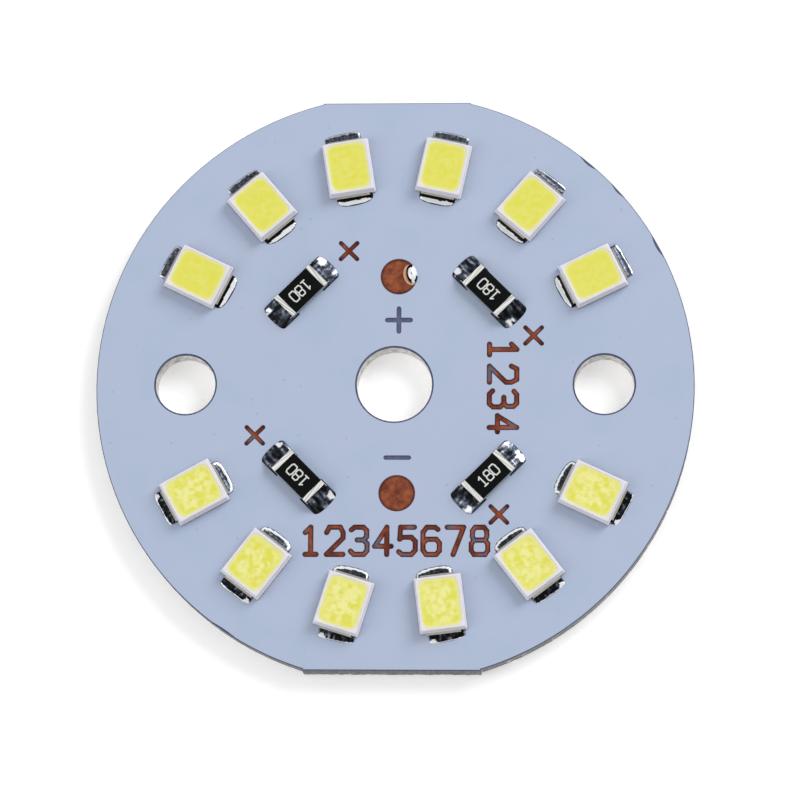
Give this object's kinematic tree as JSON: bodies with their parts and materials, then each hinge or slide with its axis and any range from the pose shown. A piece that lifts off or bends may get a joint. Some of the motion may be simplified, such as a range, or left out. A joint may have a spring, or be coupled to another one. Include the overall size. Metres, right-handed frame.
{
  "type": "round led board",
  "caption": "Round aluminium-core board with a ring of white LEDs, chip resistors, two wire pads and plain screw holes.",
  "frame": {"origin": "on the axis of the centre hole, in the back face of the board", "axes": "+Z out of the face that carries the LEDs, +Y from the negative to the positive wire pad, +X to the right"},
  "size_m": [0.035, 0.0341, 0.0023],
  "materials": {
    "aluminium_base": "rolled",
    "dielectric": "matte",
    "copper": "etched, dull",
    "solder_mask": "matte",
    "led_housing": "matte",
    "led_leads": "silver plated",
    "phosphor": "cast",
    "die": "polished",
    "resistor_ceramic": "sintered",
    "resistor_coat": "glazed",
    "resistor_cap": "tinned",
    "solder": "reflowed"
  },
  "bodies": {
    "root": {"aluminium_base": "aluminium_base", "copper_links": "copper", "copper_negative": "copper", "copper_positive": "copper", "dielectric": "dielectric", "led_01_housing": "led_housing", "led_01_leads": "led_leads", "led_01_phosphor": "phosphor", "led_02_housing": "led_housing", "led_02_leads": "led_leads", "led_02_phosphor": "phosphor", "led_03_housing": "led_housing", "led_03_leads": "led_leads", "led_03_phosphor": "phosphor", "led_04_housing": "led_housing", "led_04_leads": "led_leads", "led_04_phosphor": "phosphor", "led_05_housing": "led_housing", "led_05_leads": "led_leads", "led_05_phosphor": "phosphor", "led_06_housing": "led_housing", "led_06_leads": "led_leads", "led_06_phosphor": "phosphor", "led_07_housing": "led_housing", "led_07_leads": "led_leads", "led_07_phosphor": "phosphor", "led_08_housing": "led_housing", "led_08_leads": "led_leads", "led_08_phosphor": "phosphor", "led_09_housing": "led_housing", "led_09_leads": "led_leads", "led_09_phosphor": "phosphor", "led_10_housing": "led_housing", "led_10_leads": "led_leads", "led_10_phosphor": "phosphor", "led_11_housing": "led_housing", "led_11_leads": "led_leads", "led_11_phosphor": "phosphor", "led_12_housing": "led_housing", "led_12_leads": "led_leads", "led_12_phosphor": "phosphor", "led_dies": "die", "led_solder_joints": "solder", "resistor_1_body": "resistor_ceramic", "resistor_1_caps": "resistor_cap", "resistor_1_coat": "resistor_coat", "resistor_2_body": "resistor_ceramic", "resistor_2_caps": "resistor_cap", "resistor_2_coat": "resistor_coat", "resistor_3_body": "resistor_ceramic", "resistor_3_caps": "resistor_cap", "resistor_3_coat": "resistor_coat", "resistor_4_body": "resistor_ceramic", "resistor_4_caps": "resistor_cap", "resistor_4_coat": "resistor_coat", "resistor_solder_joints": "solder", "solder_bead": "solder", "solder_mask": "solder_mask"}
  },
  "joints": []
}
